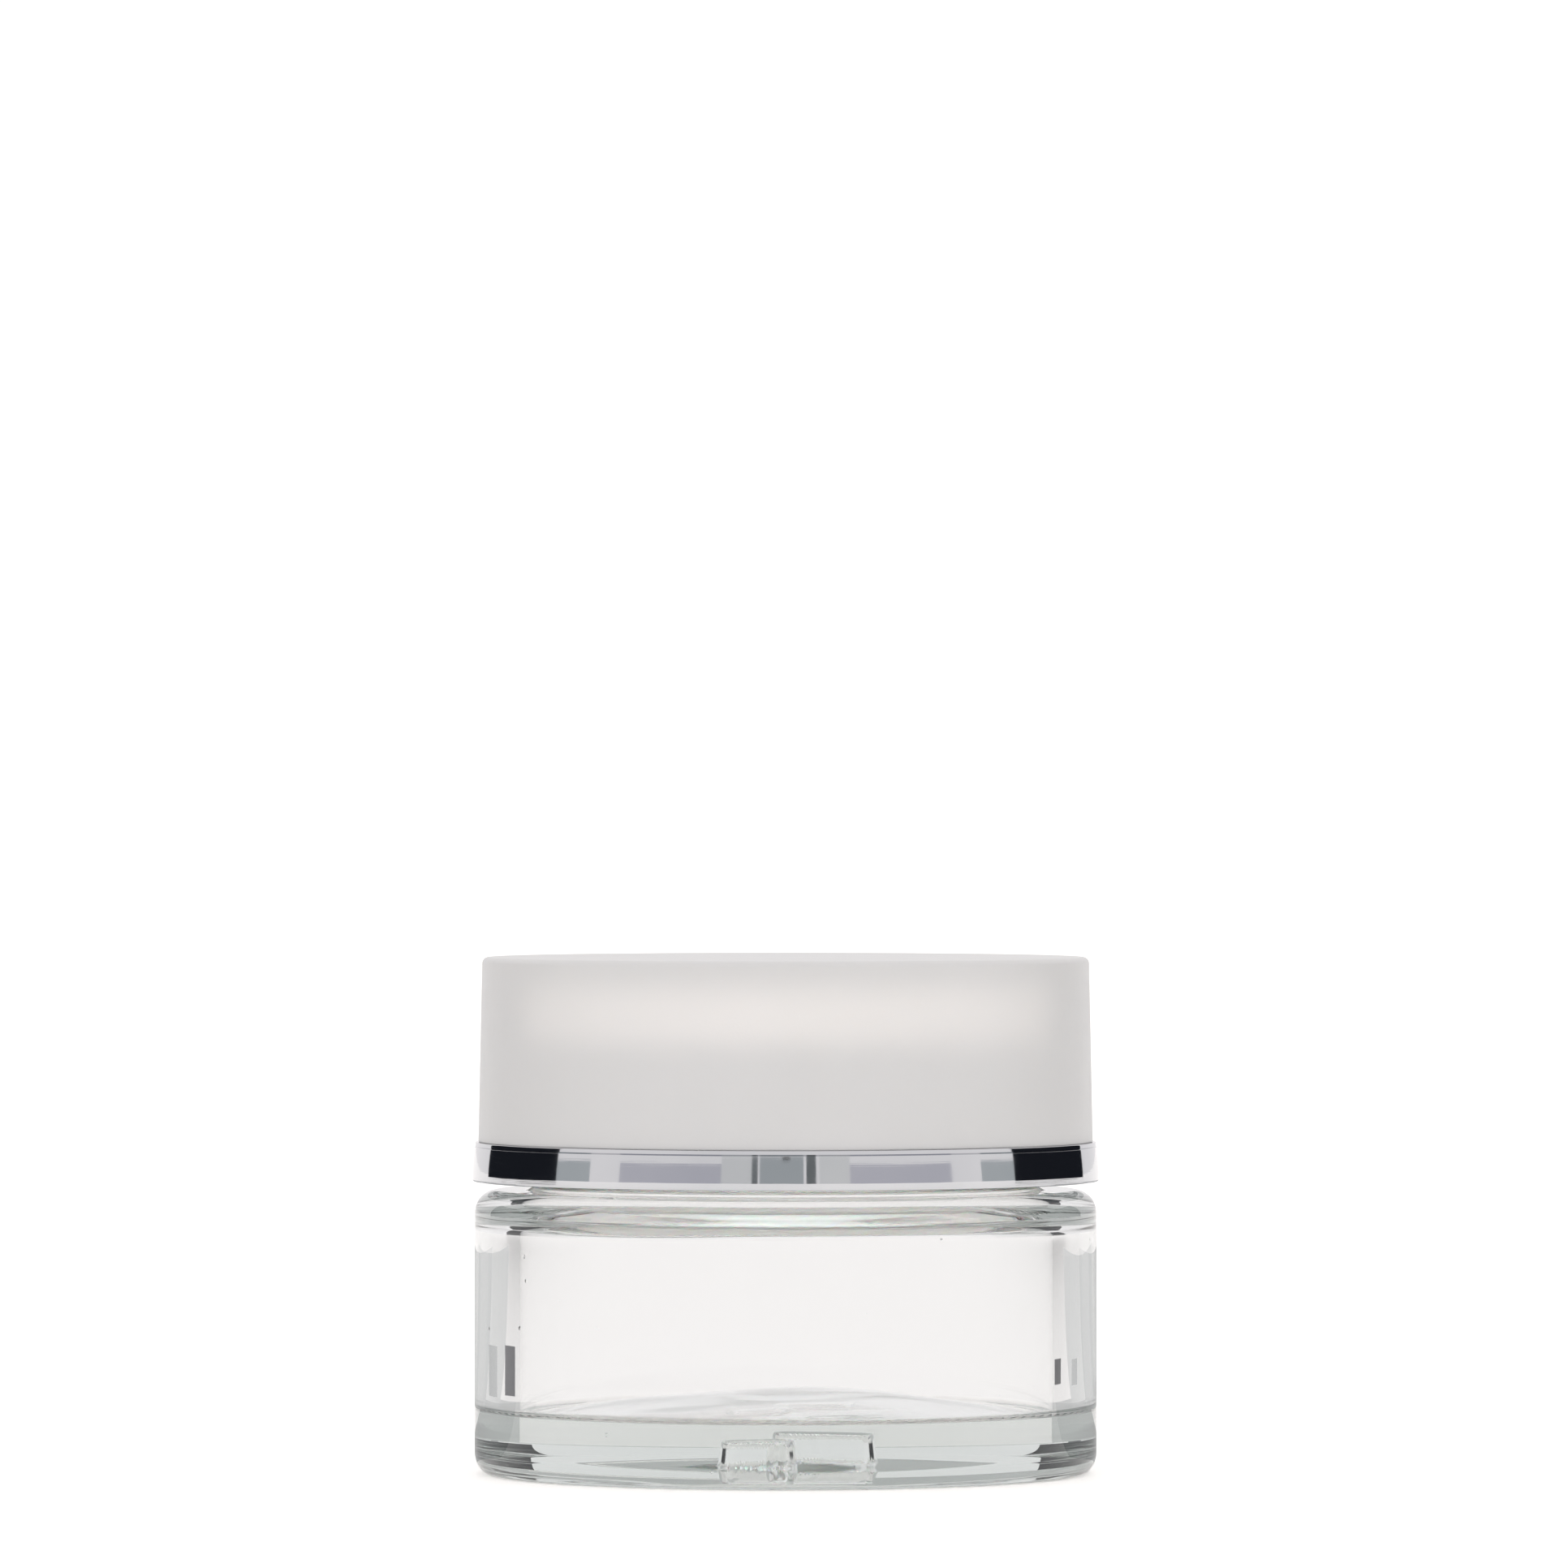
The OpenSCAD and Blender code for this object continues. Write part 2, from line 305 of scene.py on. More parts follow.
class Surface(Tree):
    """A material round one main shader. Textures are in object coordinates, in metres."""

    def __init__(self, name):
        self.material = bpy.data.materials.new(name)
        super().__init__(self.material)
        self.tree.nodes.clear()
        self.shader = self.add("ShaderNodeBsdfPrincipled")
        self.output = self.add("ShaderNodeOutputMaterial")
        self.link(self.shader.outputs[0], self.output.inputs["Surface"])
        self.place = self.add("ShaderNodeTexCoord").outputs["Object"]

    def set(self, **values):
        for key, value in values.items():
            self.shader.inputs[key.replace("_", " ")].default_value = value

    def scaled(self, factors):
        node = self.add("ShaderNodeMapping")
        node.inputs["Scale"].default_value = factors
        self.link(self.place, node.inputs["Vector"])
        return node.outputs[0]

    def noise(self, scale, detail, factors=None):
        node = self.add("ShaderNodeTexNoise")
        node.inputs["Scale"].default_value = scale
        node.inputs["Detail"].default_value = detail
        self.link(self.scaled(factors) if factors else self.place, node.inputs["Vector"])
        return node.outputs["Fac"]

    def cells(self, scale):
        node = self.add("ShaderNodeTexVoronoi", feature="F1")
        node.inputs["Scale"].default_value = scale
        self.link(self.place, node.inputs["Vector"])
        return node.outputs["Distance"]

    def ranged(self, value, low, high, to_low=0.0, to_high=1.0):
        """Maps the range from low to high onto another, and holds it there."""
        node = self.add("ShaderNodeMapRange", clamp=True)
        limits = {"From Min": low, "From Max": high, "To Min": to_low, "To Max": to_high}
        for key, number in limits.items():
            node.inputs[key].default_value = number
        self.link(value, node.inputs["Value"])
        return node.outputs[0]

    def tinted(self, scale, detail, first, second):
        """Lets the base colour drift between two colours."""
        drift = self.ranged(self.noise(scale, detail), 0.3, 0.7)
        self.link(self.mix(drift, first, second), self.shader.inputs["Base Color"])

    def rough(self, scale, detail, low, high):
        """Lets the roughness drift between two values."""
        drift = self.ranged(self.noise(scale, detail), 0.3, 0.7, low, high)
        self.link(drift, self.shader.inputs["Roughness"])

    def bump(self, height, distance, strength=1.0, under=None):
        node = self.add("ShaderNodeBump")
        node.inputs["Strength"].default_value = strength
        node.inputs["Distance"].default_value = distance
        self.link(height, node.inputs["Height"])
        if under is not None:
            self.link(under, node.inputs["Normal"])
        return node.outputs[0]


def glass_material():
    m = Surface("clear_glass")
    m.set(Base_Color=(1, 1, 1, 1), IOR=1.52, Transmission_Weight=1.0)
    smears = m.ranged(m.noise(55, 3), 0.62, 0.8, 0.0, 0.02)
    m.link(smears, m.shader.inputs["Roughness"])
    ripples = m.bump(m.noise(120, 1, factors=(1, 1, 0.35)), 0.00001)
    specks = m.ranged(m.cells(190), 0.0, 0.035, 1.0, 0.0)
    m.link(m.bump(specks, 0.00003, under=ripples), m.shader.inputs["Normal"])
    volume = m.add("ShaderNodeVolumeAbsorption")
    volume.inputs["Color"].default_value = (0.34, 0.45, 0.405, 1)
    volume.inputs["Density"].default_value = 11.0
    m.link(volume.outputs[0], m.output.inputs["Volume"])
    return m.material


def cap_material():
    m = Surface("satin_white")
    m.tinted(60, 3, (0.752, 0.752, 0.738), (0.776, 0.774, 0.762))
    m.rough(900, 2, 0.36, 0.46)
    grain = m.bump(m.noise(5200, 2), 0.000012, 0.5)
    m.link(m.bump(m.noise(700, 2), 0.00003, 0.35, under=grain), m.shader.inputs["Normal"])
    m.set(IOR=1.49, Subsurface_Weight=0.12, Subsurface_Scale=0.002)
    m.shader.inputs["Subsurface Radius"].default_value = (1.0, 0.9, 0.8)
    return m.material


def trim_material():
    m = Surface("bright_metal")
    m.tinted(90, 3, (0.60, 0.61, 0.63), (0.66, 0.665, 0.68))
    m.link(m.ranged(m.noise(400, 4), 0.35, 0.8, 0.03, 0.09), m.shader.inputs["Roughness"])
    hairlines = m.bump(m.noise(140, 2, factors=(1, 1, 60)), 0.000002, 0.5)
    m.link(m.bump(m.noise(260, 2), 0.00001, 0.25, under=hairlines), m.shader.inputs["Normal"])
    m.set(Metallic=1.0)
    return m.material


def inner_material():
    m = Surface("moulded_white")
    m.tinted(80, 2, (0.88, 0.88, 0.865), (0.92, 0.92, 0.91))
    m.rough(600, 2, 0.3, 0.42)
    m.link(m.bump(m.noise(1500, 2), 0.00002, 0.4), m.shader.inputs["Normal"])
    m.set(Subsurface_Weight=0.2, Subsurface_Scale=0.002)
    return m.material


def foam_material():
    m = Surface("closed_cell_foam")
    cells = m.cells(2600)
    tone = m.mix(m.ranged(cells, 0.0, 0.7), (0.78, 0.78, 0.77), (0.9, 0.9, 0.89))
    m.link(tone, m.shader.inputs["Base Color"])
    m.link(m.bump(cells, 0.00012, 0.8), m.shader.inputs["Normal"])
    m.rough(900, 2, 0.62, 0.8)
    return m.material


def disc_material():
    m = Surface("natural_polyethylene")
    m.tinted(140, 3, (0.84, 0.845, 0.83), (0.9, 0.905, 0.895))
    m.rough(500, 2, 0.28, 0.42)
    m.link(m.bump(m.noise(2200, 2), 0.00002, 0.4), m.shader.inputs["Normal"])
    m.set(Subsurface_Weight=0.35, Subsurface_Scale=0.003)
    return m.material


# ---------------------------------------------------------------- the pieces


def add_piece(obj, body, node, material):
    """Puts a piece on its body, in place of its CAD node."""
    obj.data.materials.append(material)
    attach(obj, body)
    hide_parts(node)


def glass_shape(r, z, a):
    """What pressing does to the turned outline: thread, knurled foot, marks, uneven inside."""
    x, y = r * math.cos(a), r * math.sin(a)
    foot_r = JAR_R - HEEL_W
    on_neck = abs(r - NECK_R) < NEAR and SHOULDER_Z + 1 < z < RIM_Z - RIM_CORNER
    on_foot = z < NEAR and BEARING_R < r < foot_r
    on_dome = z < STEP_H + DOME_H + NEAR and r < DOME_R
    on_floor = r < CAVITY_R - NEAR and FLOOR_Z - NEAR <= z < FLOOR_Z + FLOOR_RISE + NEAR
    if on_neck:
        return r + ridge(z, a, RIDGE_Z, RIDGE_H, RIDGE_W), z
    if on_foot:
        across = math.sin(math.pi * (r - BEARING_R) / (foot_r - BEARING_R))
        return r, z + KNURL_H * across * (0.5 + 0.5 * math.cos(KNURLS * a))
    if on_dome:
        return r, z + max(pressed_up(x, y, mark) for mark in MARKS)
    if on_floor:
        return r, z + FLOOR_SWAY * unevenness(x, y, 0.07, 3.1) * ease((CAVITY_R - r) / 6)
    if abs(r - CAVITY_R) < NEAR:
        return r + WALL_SWAY * unevenness(x, y, 0.06, 7.7), z
    return r, z


def jar_outside():
    """The jar's outline from the middle of its base to the top of its rim."""
    radii = steps(0, MARKS_FROM, 0.5)
    radii += steps(MARKS_FROM, MARKS_TO, 0.06)[1:]
    radii += steps(MARKS_TO, DOME_R, 0.5)[1:]
    quarter = arc(0, 0, 1, -90, 0, 24)
    heel = [(JAR_R + HEEL_W * (r - 1), HEEL_H * (1 + z)) for r, z in quarter]
    neck_z = SHOULDER_Z + NECK_FILLET
    rim_z = RIM_Z - RIM_CORNER
    return (
        dome(DOME_R, STEP_H, DOME_H, radii)
        + span((BEARING_R, 0), (JAR_R - HEEL_W, 0), 0.3) + heel
        + arc(JAR_R - SHOULDER_CORNER, SHOULDER_Z - SHOULDER_CORNER, SHOULDER_CORNER, 0, 90, 16)
        + arc(NECK_R + NECK_FILLET, neck_z, NECK_FILLET, 270, 180, 8)
        + span((NECK_R, neck_z), (NECK_R, rim_z), 0.16)
        + arc(NECK_R - RIM_CORNER, rim_z, RIM_CORNER, 0, 90, 8))


def jar_inside():
    """The jar's outline from its rim down the bore and the cavity to the middle of its floor."""
    slope = math.radians(CEILING_SLOPE)
    bends = CAVITY_BEND + BORE_BEND
    slope_rise = (CAVITY_R - BORE_R - bends * (1 - math.cos(slope))) / math.tan(slope)
    cavity_top = SHOULDER_Z - CEILING_DROP
    bore_start = cavity_top + bends * math.sin(slope) + slope_rise
    floor_r = CAVITY_R - CAVITY_CORNER
    corner_z = FLOOR_Z + CAVITY_CORNER
    return (
        arc(BORE_R + RIM_CORNER, RIM_Z - RIM_CORNER, RIM_CORNER, 90, 180, 8)
        + arc(BORE_R + BORE_BEND, bore_start, BORE_BEND, 180, 180 + CEILING_SLOPE, 10)
        + arc(CAVITY_R - CAVITY_BEND, cavity_top, CAVITY_BEND, CEILING_SLOPE, 0, 10)
        + span((CAVITY_R, cavity_top), (CAVITY_R, corner_z), 1)[1:-1]
        + arc(floor_r, corner_z, CAVITY_CORNER, 0, -90, 12)
        + dome(floor_r, FLOOR_Z, FLOOR_RISE, steps(floor_r, 0, 0.8))[1:])


def make_jar():
    outline = held(jar_outside() + jar_inside())
    return turned("jar_glass", outline, shape=glass_shape, segments=FINE_SEGMENTS)


def make_outer_cap():
    """A plain tapered shell, with splines down the inside of its wall."""
    top_r = SHELL_R - SHELL_DRAFT
    inner_top = CAP_Z - SHELL_TOP_T
    inner_r = SHELL_R - SHELL_T
    inner_top_r = top_r - SHELL_T
    edge, corner, rib_gap = 0.12, 0.2, 0.06

    def inner_at(z):
        """A point on the inside of the wall."""
        narrowing = (inner_top_r - inner_r) * (z - SNAP_Z) / (inner_top - SNAP_Z)
        return inner_r + narrowing, z

    def splined(r, z, a):
        wall = SKIRT_R < r < SHELL_R - SHELL_T / 2 and SLEEVE_Z < z < inner_top - 0.1
        return (SKIRT_R + rib_gap if wall and 0.26 < spline_phase(a) < 0.74 else r), z

    outline = (
        [(0, inner_top), (inner_top_r - corner, inner_top), (inner_top_r, inner_top - corner)]
        + span(inner_at(inner_top - 0.5), inner_at(SLEEVE_Z + SPLINE_END), 1.5)
        + [inner_at(SLEEVE_Z - SPLINE_END), (inner_r, SNAP_Z + SNAP_W / 2),
           (inner_r + SNAP_H, SNAP_Z), (inner_r, SNAP_Z - SNAP_W / 2), (inner_r, SHELL_Z),
           (SHELL_R - edge, SHELL_Z)]
        + arc(SHELL_R - edge, SHELL_Z + edge, edge, -90, 0, 5)
        + span((SHELL_R, SHELL_Z + edge), (top_r, CAP_Z - SHELL_CORNER), 1.0)[1:-1]
        + arc(top_r - SHELL_CORNER, CAP_Z - SHELL_CORNER, SHELL_CORNER, 0, 90, 10)
        + span((top_r - SHELL_CORNER, CAP_Z), (0, CAP_Z), 2)[1:])
    return turned("cap_shell", held(outline), shape=splined)


def make_trim_ring():
    """The bright band over its lip, and the sleeve that snaps up inside the shell."""
    top_r = SHELL_R + BAND_OUT
    lip_z = RING_Z + LIP_H
    groove_z = SHELL_Z - GROOVE_DROP
    low, high = groove_z - GROOVE_H / 2, groove_z + GROOVE_H / 2
    sleeve_in = SKIRT_R + GAP
    sleeve_out = SHELL_R - SHELL_T - GAP
    lip, edge, web = 0.16, 0.06, 1.0

    def band(z):
        """A point on the bright face of the band."""
        t = (z - lip_z) / (SHELL_Z - lip_z)
        return RING_R + (top_r - RING_R) * t + BAND_BULGE * 4 * t * (1 - t), z

    underside = [
        (sleeve_in, RING_Z), (sleeve_out, RING_Z), (sleeve_out, SHELL_Z - web),
        (sleeve_out + web / 2, SHELL_Z - web), (RING_R - web, RING_Z + lip),
        (RING_R - web + lip, RING_Z)]
    face = [band(lip_z + (low - lip_z) * i / 12) for i in range(1, 13)]
    groove = [(band(groove_z)[0] - GROOVE_DEPTH, groove_z), band(high)]
    sleeve = [
        (sleeve_out, SHELL_Z), (sleeve_out, SNAP_Z - SNAP_W / 2),
        (sleeve_out + SNAP_H - 0.03, SNAP_Z), (sleeve_out, SNAP_Z + SNAP_W / 2),
        (sleeve_out, SLEEVE_Z), (sleeve_in, SLEEVE_Z)]
    outline = (
        underside + arc(RING_R - lip, RING_Z + lip, lip, -90, 0, 6) + [(RING_R, lip_z - 0.05)]
        + face + groove + arc(top_r - edge, SHELL_Z - edge, edge, 5, 90, 4) + sleeve)
    return turned("trim_band", held(outline, 0.04, closed=True), closed=True)


def make_inner_cap():
    """A plate over a skirt, threaded inside and splined outside, with the liner's bead."""
    bead_z = LINER_Z - BEAD_H - GAP
    spline_top = SLEEVE_Z + SPLINE_LENGTH
    corner, edge = 0.3, 0.1

    def shape(r, z, a):
        if abs(r - THREAD_R) < NEAR and SKIRT_Z + 1 < z < bead_z - 0.05:
            return r - ridge(z, a, RIDGE_Z - CAP_RIDGE_DROP, CAP_RIDGE_H, CAP_RIDGE_W), z
        on_spline = not 0.24 < spline_phase(a) < 0.76
        if abs(r - SKIRT_R) < NEAR and SLEEVE_Z < z < spline_top and on_spline:
            return SPLINE_R, z
        return r, z

    outline = (
        [(0, PLATE_Z), (THREAD_R, PLATE_Z), (THREAD_R, bead_z + BEAD_H)]
        + [(THREAD_R - BEAD_DEPTH, bead_z + BEAD_H / 2)]
        + span((THREAD_R, bead_z), (THREAD_R, SKIRT_Z + corner), 0.12)
        + arc(THREAD_R + corner, SKIRT_Z + corner, corner, 180, 270, 5)
        + [(SKIRT_R - edge, SKIRT_Z), (SKIRT_R, SKIRT_Z + edge)]
        + [(SKIRT_R, SLEEVE_Z - SPLINE_END)]
        + span((SKIRT_R, SLEEVE_Z + SPLINE_END), (SKIRT_R, spline_top - SPLINE_END), 2)
        + [(SKIRT_R, spline_top + SPLINE_END)]
        + arc(SKIRT_R - corner, PLATE_TOP - corner, corner, 0, 90, 5)
        + [(0, PLATE_TOP)])
    return turned("cap_liner_shell", held(outline), shape=shape)


def make_liner():
    """A foam disc, with the ring that the rim has pressed into its underside."""
    press = 0.07
    rim_r = (NECK_R + BORE_R) / 2
    edge = 0.15

    def pressed(r, z, a):
        if z > LINER_Z + NEAR:
            return r, z
        return r, z + press * ease(1.4 - abs(r - rim_r) / 1.1)

    outline = (
        span((0, LINER_Z), (LINER_R - edge, LINER_Z), 0.25)
        + arc(LINER_R - edge, LINER_Z + edge, edge, -90, 0, 4)
        + arc(LINER_R - edge, LINER_TOP - edge, edge, 0, 90, 4)
        + [(0, LINER_TOP)])
    return turned("liner_disc", outline, shape=pressed, segments=COARSE_SEGMENTS)


def make_sealing_disc():
    """A dished disc with a tongue to lift it by."""
    plug_r, flange_r, wall, corner = BORE_R - 0.1, NECK_R - 0.15, 0.6, 0.2
    outer_bend, inner_bend, mouth_edge = 0.5, 0.4, 0.15
    floor = DISH_Z + wall
    inner_r = plug_r - wall - outer_bend
    outline = (
        span((0, DISH_Z), (plug_r - outer_bend, DISH_Z), 2)
        + arc(plug_r - outer_bend, DISH_Z + outer_bend, outer_bend, -90, 0, 6)
        + [(plug_r, RIM_Z), (flange_r - corner, RIM_Z)]
        + arc(flange_r - corner, RIM_Z + corner, corner, -90, 0, 4)
        + arc(flange_r - corner, FLANGE_Z - corner, corner, 0, 90, 4)
        + arc(inner_r + inner_bend, FLANGE_Z - mouth_edge, mouth_edge, 90, 180, 4)
        + arc(inner_r - inner_bend, floor + inner_bend, inner_bend, 0, -90, 6)
        + span((inner_r - inner_bend, floor), (0, floor), 2)[1:])
    disc = turned("lift_out_disc", held(outline), segments=COARSE_SEGMENTS)
    join(disc, tongue(floor))
    return disc


def bar(outline, z_low, z_high, bevel=0.15):
    """A flat plate with rounded edges on a closed outline of (x, y)."""
    n = len(outline)
    cx = sum(p[0] for p in outline) / n
    cy = sum(p[1] for p in outline) / n
    rows = [(z_low, bevel), (z_low + bevel, 0), (z_high - bevel, 0), (z_high, bevel)]
    vertices, faces = [], []
    for z, inset in rows:
        for x, y in outline:
            d = max(1e-6, math.hypot(x - cx, y - cy))
            k = (d - inset) / d
            vertices.append((cx + (x - cx) * k, cy + (y - cy) * k, z))
    for k in range(len(rows) - 1):
        for i in range(n):
            j = (i + 1) % n
            faces.append((k * n + i, k * n + j, (k + 1) * n + j, (k + 1) * n + i))
    faces.append(tuple(reversed(range(n))))
    faces.append(tuple(range((len(rows) - 1) * n, len(rows) * n)))
    return vertices, faces


def tongue(floor):
    """The lifting tongue, its root and its grip ridges, each a closed shell."""
    length, width, gap, thick = 11.0, 6.5, 0.5, 0.6
    low = floor + gap
    top = low + thick
    half = (length - width) / 2
    ends = arc(half, 0, width / 2, -90, 90, 20) + arc(-half, 0, width / 2, 90, 270, 20)
    shells = [bar(ends, low, top)]
    root_from, root_to, root_half = -5.4, -3.8, 1.6
    root = [(root_from, -root_half), (root_to, -root_half),
            (root_to, root_half), (root_from, root_half)]
    shells.append(bar(root, floor - 0.2, low + 0.3, 0.02))
    grip_half, grip_r, grip_step = 1.4, 0.25, 1.1
    for i in range(3):
        x = length / 4 + (i - 0.5) * grip_step
        grip = arc(x, grip_half, grip_r, 0, 180, 6) + arc(x, -grip_half, grip_r, 180, 360, 6)
        shells.append(bar(grip, top - 0.2, top + 0.2, 0.12))
    return shells


def join(obj, shells):
    """Adds closed shells to an object's mesh."""
    bm = bmesh.new()
    bm.from_mesh(obj.data)
    for vertices, faces in shells:
        made = [bm.verts.new(tuple(c * MM for c in v)) for v in vertices]
        for face in faces:
            bm.faces.new([made[i] for i in face]).smooth = True
    bm.to_mesh(obj.data)
    bm.free()
    obj.data.set_sharp_from_angle(angle=math.radians(SHARP_ANGLE))


add_piece(make_jar(), "jar", "glass_jar", glass_material())
add_piece(make_outer_cap(), "cap", "outer_cap", cap_material())
add_piece(make_trim_ring(), "cap", "trim_ring", trim_material())
add_piece(make_inner_cap(), "cap", "inner_cap", inner_material())
add_piece(make_liner(), "liner", "foam_liner", foam_material())
add_piece(make_sealing_disc(), "disc", "sealing_disc", disc_material())

# ---------------------------------------------------------------- the studio
CARD_R = 520            # cards stand on a circle of this radius
CARD_LOW = 20
CARD_TOP = 190
# the sheets of painted table shade lie this high over the table
SHADE_SHEET_Z = 0.2
THROUGH = 3.5           # rays that have crossed more glass surfaces than this pass the cards
COOL = (0.94, 1.0, 1.03)
LILAC = (0.97, 0.96, 1.05)
BLUE = (0.8, 0.9, 1.2)
VIOLET = (0.95, 0.93, 1.1)
INNER_GLOW = (5.8, 5.5, 5.45)
FLOOR_HALF = 6000


def emitting(name, colour, strength):
    """The glow of a card. Rays that have already gone right through the glass pass it."""
    material = bpy.data.materials.new(name)
    nodes = Tree(material)
    nodes.tree.nodes.clear()
    out = nodes.add("ShaderNodeOutputMaterial")
    glow = nodes.add("ShaderNodeEmission")
    glow.inputs["Color"].default_value = (*colour, 1)
    glow.inputs["Strength"].default_value = strength
    crossed = nodes.add("ShaderNodeLightPath").outputs["Transmission Depth"]
    clear = nodes.add("ShaderNodeBsdfTransparent")
    mix = nodes.add("ShaderNodeMixShader")
    nodes.link(nodes.maths("GREATER_THAN", crossed, THROUGH), mix.inputs[0])
    nodes.link(glow.outputs[0], mix.inputs[1])
    nodes.link(clear.outputs[0], mix.inputs[2])
    nodes.link(mix.outputs[0], out.inputs["Surface"])
    return material


def card(name, start, end, glow, tint, low=CARD_LOW, top=CARD_TOP, top_end=None, radius=CARD_R):
    """A card standing on a circle round the jar, between two angles from the front, with a
    level or a sloping top."""
    columns = 24
    top_end = top if top_end is None else top_end
    lower, upper = [], []
    for i in range(columns + 1):
        a = math.radians(start + (end - start) * i / columns)
        x, y = radius * math.sin(a), -radius * math.cos(a)
        lower.append((x, y, low))
        upper.append((x, y, top + (top_end - top) * i / columns))
    faces = [(i, i + 1, columns + 2 + i, columns + 1 + i) for i in range(columns)]
    panel = new_object(name, lower + upper, faces)
    panel.data.materials.append(emitting(name, tint, glow))
    panel.visible_camera = False
    return panel


def shade_sheet(name, glow, corners):
    """A flat, dimly glowing sheet on the table: painted shade, standing in for the darker table
    near the black flags, which only the glass and the other shiny pieces pick up.
    """
    sheet = new_object(name, [(x, y, SHADE_SHEET_Z) for x, y in corners], [(0, 1, 2, 3)])
    sheet.data.materials.append(emitting(name, (1, 1, 1), glow))
    sheet.visible_camera = False
    sheet.visible_diffuse = False
    sheet.visible_shadow = False


def foot(name, start, end, glow, top, radius):
    """A low dark block on the table, which only shiny pieces pick up."""
    block = card(name, start, end, glow, VIOLET, low=0, top=top, radius=radius)
    block.visible_diffuse = False
    block.visible_shadow = False


def make_side(side, hand):
    """The cards, and the sheets of painted table shade, on one side of the jar: -1 is the left
    and 1 is the right.
    """
    card(f"black_flag_{hand}", side * 91, side * 139, 0.015, BLUE, low=9)
    # painted shade: dim sheets on the table where the flags darken it, seen only in the glass
    # and the ring
    far_corners = [(side * 75, 80), (side * 327, 351), (side * 50, 477), (side * 12, 110)]
    shade_sheet(f"far_table_shade_{hand}", 0.66, far_corners)
    near_corners = [(side * -2, 27), (side * 80, 101), (side * 125, 45), (side * 30, 2)]
    shade_sheet(f"near_table_shade_{hand}", 0.56, near_corners)
    card(f"grey_card_{hand}", side * 75, side * 91, 0.52, COOL, top=90, top_end=80)
    card(f"softbox_{hand}", side * 23, side * 62, 0.6, LILAC, top=106, top_end=94)
    card(f"white_card_{hand}", side * 12, side * 23, 0.76, (1, 1, 1), top=127, top_end=124)


def make_stand():
    """The camera and its stand, straight in front."""
    card("stand_middle", -9.2, 6.4, 0.48, COOL, top=127)
    card("stand_left", -12, -9.9, 0.22, COOL, top=127)
    card("stand_right", 7.4, 10.8, 0.2, COOL, top=150)
    card("lens_hood", -1.2, 1.6, 0.03, COOL, low=116, top=124, radius=505)


def floor_material():
    """Pale and faintly glowing, more so where the camera or a mirror sees it."""
    m = Surface("pale_floor")
    m.set(Base_Color=(0.94, 0.93, 0.915, 1), Roughness=0.6, Specular_IOR_Level=0.2)
    m.set(Emission_Color=(1, 0.99, 0.96, 1))
    path = m.add("ShaderNodeLightPath").outputs
    seen = m.ranged(path["Is Camera Ray"], 0, 1, 0.08, 0.4)
    mirrored = m.maths("MULTIPLY", path["Is Glossy Ray"], path["Is Reflection Ray"])
    strength = m.maths("ADD", seen, m.ranged(mirrored, 0, 1, 0, 0.18))
    m.link(strength, m.shader.inputs["Emission Strength"])
    return m.material


def make_floor():
    signs = ((-1, -1), (1, -1), (1, 1), (-1, 1))
    corners = [(FLOOR_HALF * x, FLOOR_HALF * y, 0) for x, y in signs]
    floor = new_object("floor", corners, [(0, 1, 2, 3)])
    floor.data.materials.append(floor_material())


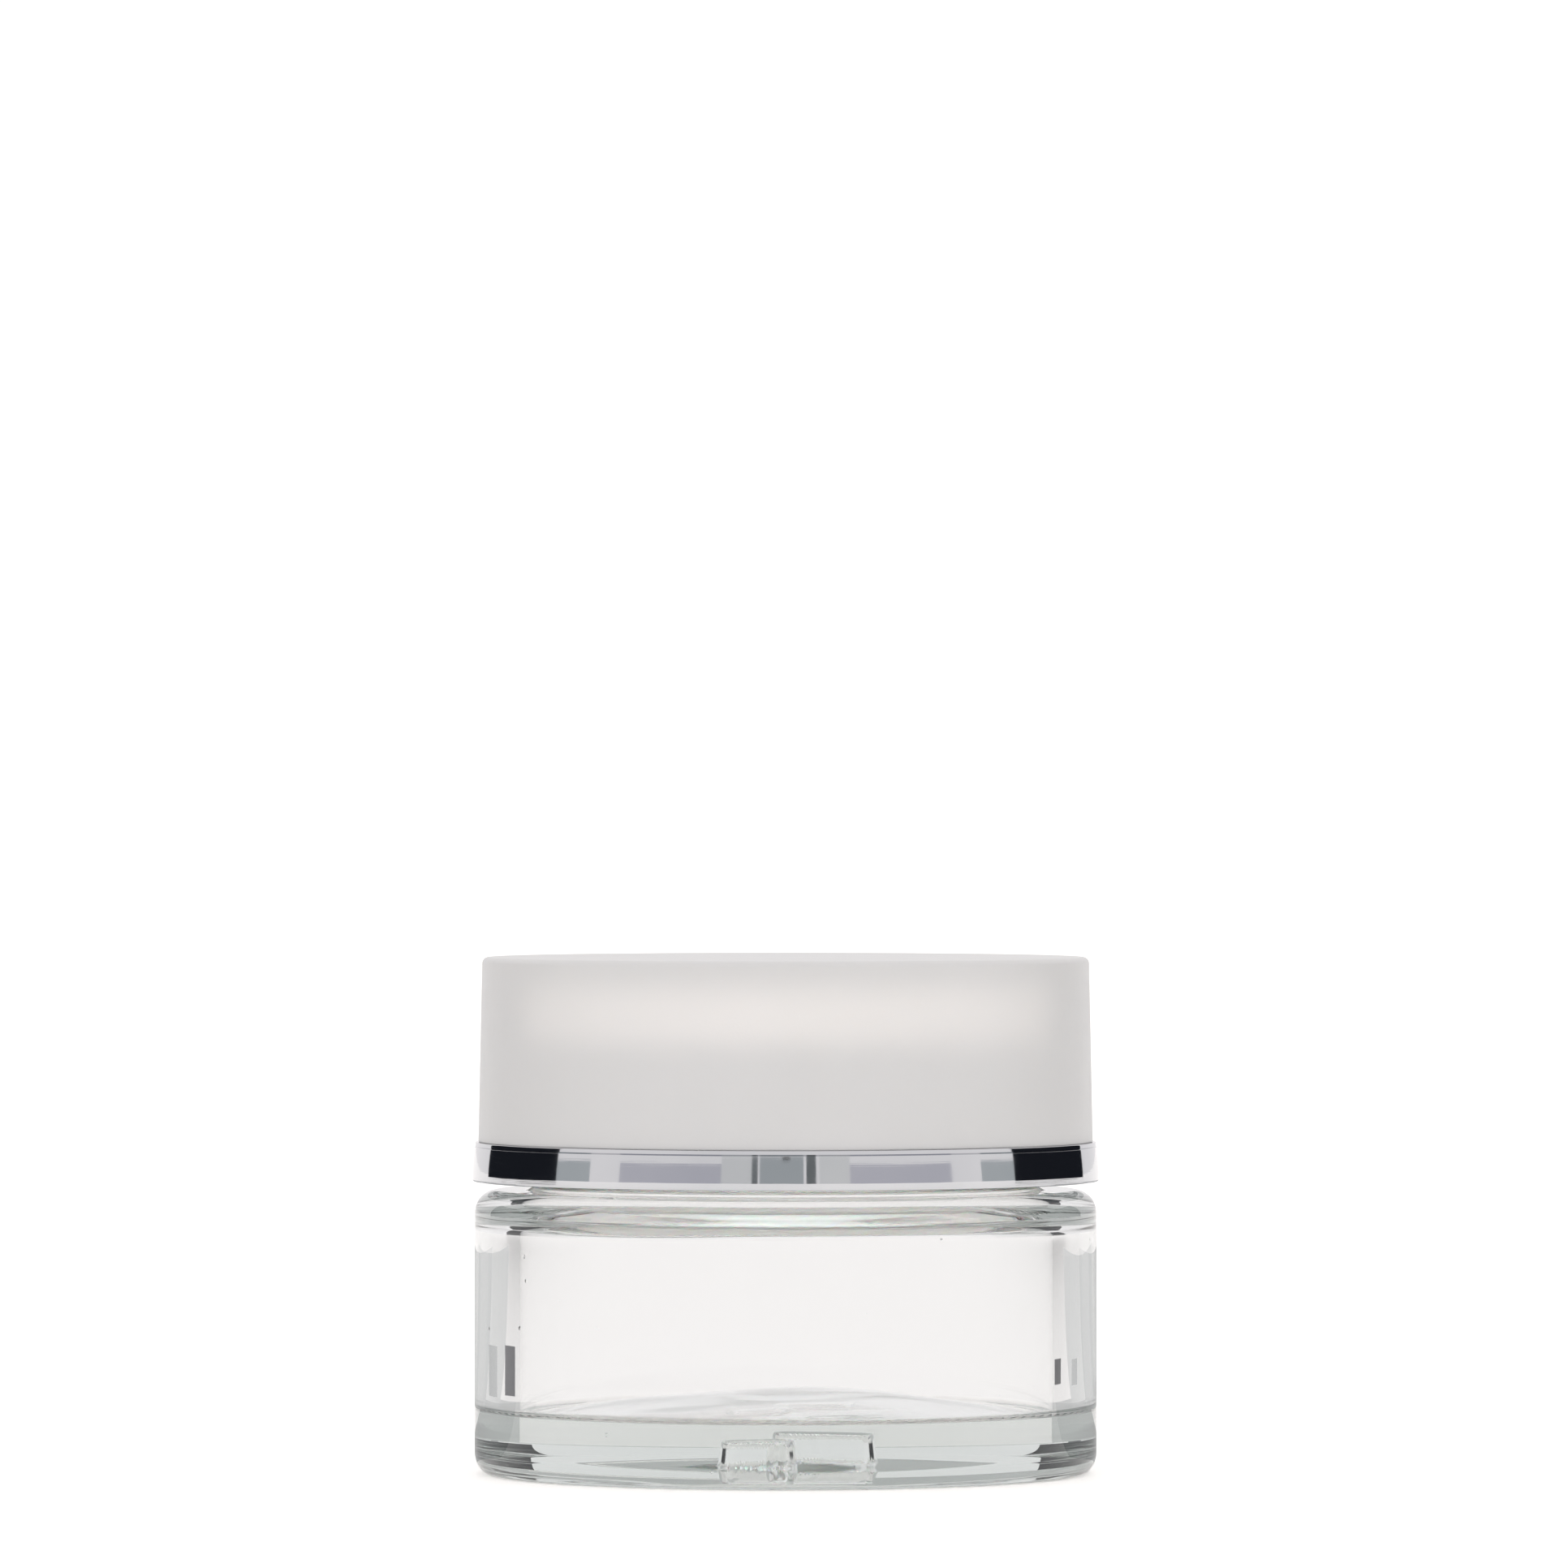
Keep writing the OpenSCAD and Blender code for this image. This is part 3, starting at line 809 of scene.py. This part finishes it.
def make_world():
    """White where the camera sees it directly, a touch greyer everywhere else. Light that
    has to find its way in through the glass to the white parts under the cap is stronger,
    to stand in for what comes through their thin translucent walls."""
    world = bpy.data.worlds.new("studio")
    nodes = Tree(world)
    path = nodes.add("ShaderNodeLightPath").outputs
    bounced = nodes.maths("GREATER_THAN", path["Diffuse Depth"], 1.5)
    depth = nodes.maths("MULTIPLY_ADD", path["Diffuse Depth"], 2, path["Transmission Depth"])
    enclosed = nodes.maths("MULTIPLY", bounced, nodes.maths("GREATER_THAN", depth, 6.5))
    seen = nodes.mix(path["Is Camera Ray"], (0.93, 0.91, 0.92), (1.05, 1.05, 1.05))
    background = nodes.tree.nodes["Background"]
    nodes.link(nodes.mix(enclosed, seen, INNER_GLOW), background.inputs["Color"])
    bpy.context.scene.world = world


def make_glint():
    """A low, wide, warm strip of light on the front of the cap's shell."""
    light = bpy.data.lights.new("glint", "AREA")
    light.shape = "RECTANGLE"
    light.size = 42 * MM
    light.size_y = 4.5 * MM
    light.spread = math.radians(2)
    light.energy = 0.00012
    light.color = (1.0, 0.87, 0.79)
    lamp = bpy.data.objects.new("glint", light)
    lamp.location = (0, -150 * MM, (CAP_Z - 4.2) * MM)
    lamp.rotation_euler = (math.radians(90), 0, 0)
    lamp.visible_camera = False
    lamp.visible_glossy = False
    bpy.context.scene.collection.objects.link(lamp)


def set_light_paths():
    """Plain colours, and enough bounces for light to find its way through thick glass."""
    bpy.context.scene.view_settings.view_transform = "Standard"
    cycles = bpy.context.scene.cycles
    cycles.max_bounces = 40
    cycles.transmission_bounces = 40
    cycles.glossy_bounces = 16
    cycles.diffuse_bounces = 6
    cycles.sample_clamp_indirect = 8


make_side(-1, "left")
make_side(1, "right")
make_stand()
# low dark blocks on the table, seen only in the glass and the ring
foot("dark_block_left", -125.2, -133.6, 0.07, 4.6, 139)
foot("dark_block_right", 124.3, 129.4, 0.05, 2.4, 161)
make_floor()
make_world()
make_glint()
set_light_paths()

# ---------------------------------------------------------------- the camera
CAMERA_DISTANCE = 958
CAMERA_HEIGHT = 55.4
CAMERA_SIDE = -0.13
VIEW_WIDTH = 126.1      # what the frame takes in, at the jar's axis


def make_camera():
    """A level camera straight in front."""
    camera = bpy.data.cameras.new("camera")
    camera.sensor_width = 36
    camera.lens = camera.sensor_width * CAMERA_DISTANCE / VIEW_WIDTH
    camera.clip_start = 0.01
    camera.clip_end = 50
    eye = bpy.data.objects.new("camera", camera)
    eye.location = (CAMERA_SIDE * MM, -CAMERA_DISTANCE * MM, CAMERA_HEIGHT * MM)
    eye.rotation_euler = (math.radians(90), 0, 0)
    bpy.context.scene.collection.objects.link(eye)
    bpy.context.scene.camera = eye


make_camera()
